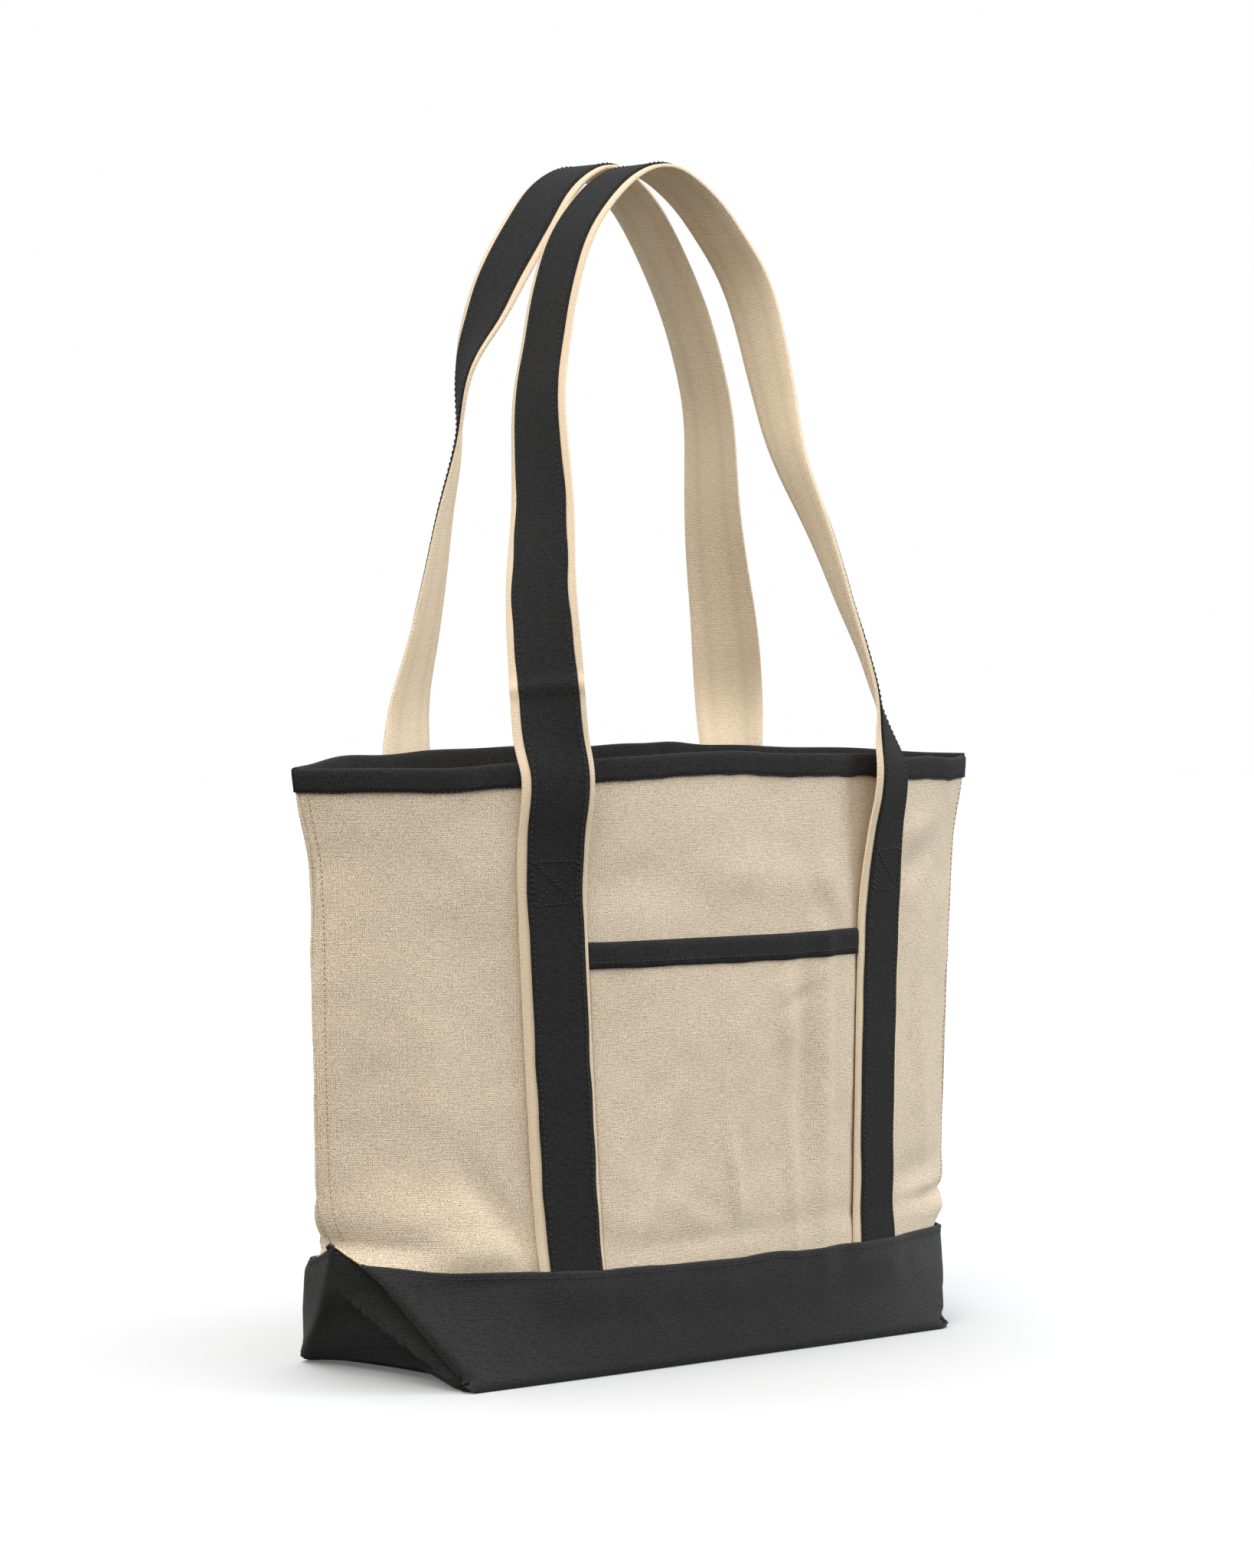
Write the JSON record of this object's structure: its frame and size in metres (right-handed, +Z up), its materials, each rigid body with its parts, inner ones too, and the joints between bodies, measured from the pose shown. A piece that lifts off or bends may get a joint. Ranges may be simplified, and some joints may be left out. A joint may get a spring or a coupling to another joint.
{
  "type": "canvas tote bag",
  "caption": "Open-topped canvas tote bag with a boxed dark base, a bound rim, a front patch pocket and long webbing carrying handles.",
  "frame": {"origin": "centre of the bounding box on the surface the bag stands on", "axes": "+X along the bag's width, -Y towards the pocket side, +Z up"},
  "size_m": [0.446, 0.1608, 0.6188],
  "materials": {
    "natural_canvas": "matte",
    "natural_webbing": "matte",
    "dark_canvas": "matte",
    "dark_binding": "matte",
    "dark_trim": "matte",
    "dark_thread": "satin"
  },
  "bodies": {
    "bag": {"front_panel": "natural_canvas", "back_panel": "natural_canvas", "bottom_panel": "natural_canvas", "base_boot": "dark_canvas", "front_rim_binding": "dark_binding", "back_rim_binding": "dark_binding", "left_side_seam": "natural_canvas", "right_side_seam": "natural_canvas", "pocket_panel": "natural_canvas", "pocket_binding": "dark_binding", "front_left_leg_web": "natural_webbing", "front_left_leg_trim": "dark_trim", "front_right_leg_web": "natural_webbing", "front_right_leg_trim": "dark_trim", "front_box_stitches": "dark_thread", "back_left_leg_web": "natural_webbing", "back_left_leg_trim": "dark_trim", "back_right_leg_web": "natural_webbing", "back_right_leg_trim": "dark_trim", "back_box_stitches": "dark_thread"},
    "front_handle": {"front_handle_web": "natural_webbing", "front_handle_trim": "dark_trim"},
    "back_handle": {"back_handle_web": "natural_webbing", "back_handle_trim": "dark_trim"}
  },
  "joints": [
    {"name": "front_handle_swing", "type": "hinge", "parent": "bag", "child": "front_handle", "pos_m": [0, -0.06829, 0.26], "axis": [1, 0, 0], "range_deg": [0, 130]},
    {"name": "back_handle_swing", "type": "hinge", "parent": "bag", "child": "back_handle", "pos_m": [0, 0.06045, 0.26], "axis": [-1, 0, 0], "range_deg": [0, 130]}
  ]
}
